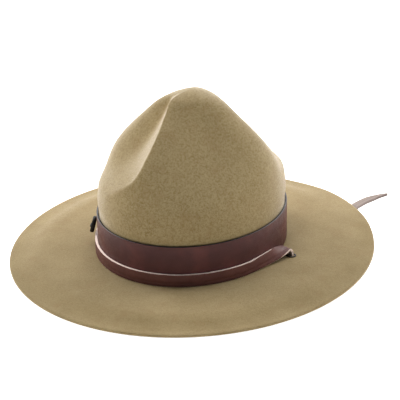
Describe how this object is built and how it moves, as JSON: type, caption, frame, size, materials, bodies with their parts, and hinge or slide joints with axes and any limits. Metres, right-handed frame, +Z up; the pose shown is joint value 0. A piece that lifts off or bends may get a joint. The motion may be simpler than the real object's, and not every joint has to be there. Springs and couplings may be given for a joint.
{
  "type": "campaign hat",
  "caption": "Stiff felt hat with a high peak pinched by dents, a wide flat brim, a leather band with a buckle and a narrow chin strap.",
  "frame": {"origin": "centre of the head opening, on the surface that the hat rests on", "axes": "+Z up, -Y towards the front of the hat, +X towards its side with the strap's free end"},
  "size_m": [0.344, 0.377, 0.1555],
  "materials": {
    "felt": "short brushed nap, matt",
    "band_leather": "smooth, waxed",
    "strap_leather": "smooth, waxed, with raw cut edges and a pale flesh side",
    "dark_metal": "black lacquer, worn"
  },
  "bodies": {
    "root": {"felt_body": "felt", "hat_band": "band_leather", "chin_strap": "strap_leather", "band_buckle": "dark_metal", "buckle_prong": "dark_metal", "strap_keeper": "dark_metal", "strap_eyelet_right": "dark_metal", "strap_eyelet_left": "dark_metal"}
  },
  "joints": []
}
